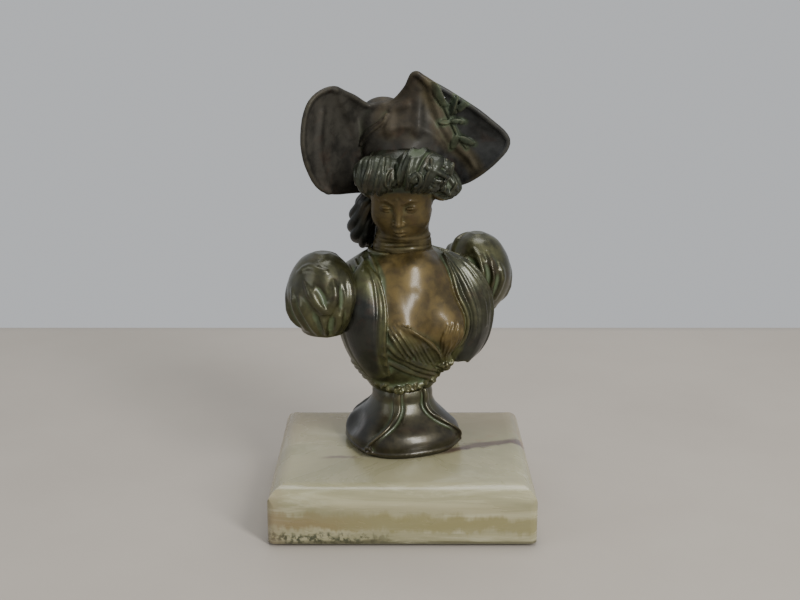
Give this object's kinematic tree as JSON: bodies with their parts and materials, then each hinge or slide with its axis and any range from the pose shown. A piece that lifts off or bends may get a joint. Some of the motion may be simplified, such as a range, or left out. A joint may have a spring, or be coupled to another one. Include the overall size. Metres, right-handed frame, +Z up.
{
  "type": "bronze bust on an onyx slab",
  "caption": "Small patinated bronze bust of a lady in a wide upturned hat and puffed sleeves, on a flared socle that turns on an onyx slab.",
  "frame": {"origin": "under the middle of the slab, at the level the felt rests on; the stud's axis stands 6.3 mm behind it", "axes": "+Z up through the bust, -Y out of the slab's front, +X to the viewer's right"},
  "size_m": [0.088, 0.075, 0.15],
  "materials": {
    "onyx": "polished",
    "felt": "felt",
    "steel": "plain",
    "bronze": "patinated"
  },
  "bodies": {
    "slab": {"onyx_base": "onyx", "felt_pad": "felt"},
    "bust": {"socle_casting": "bronze", "bodice_casting": "bronze", "right_sleeve": "bronze", "left_sleeve": "bronze", "head_casting": "bronze", "hat_casting": "bronze", "centre_stud": "steel", "stud_nut": "steel", "stud_washer": "steel", "waist_dowel": "steel", "neck_pins": "steel", "sleeve_screws": "steel", "hat_pin": "steel"}
  },
  "joints": [
    {"name": "bust_turn", "type": "hinge", "parent": "slab", "child": "bust", "pos_m": [0, 0.0063, 0.02], "axis": [0, 0, 1], "continuous": true}
  ]
}
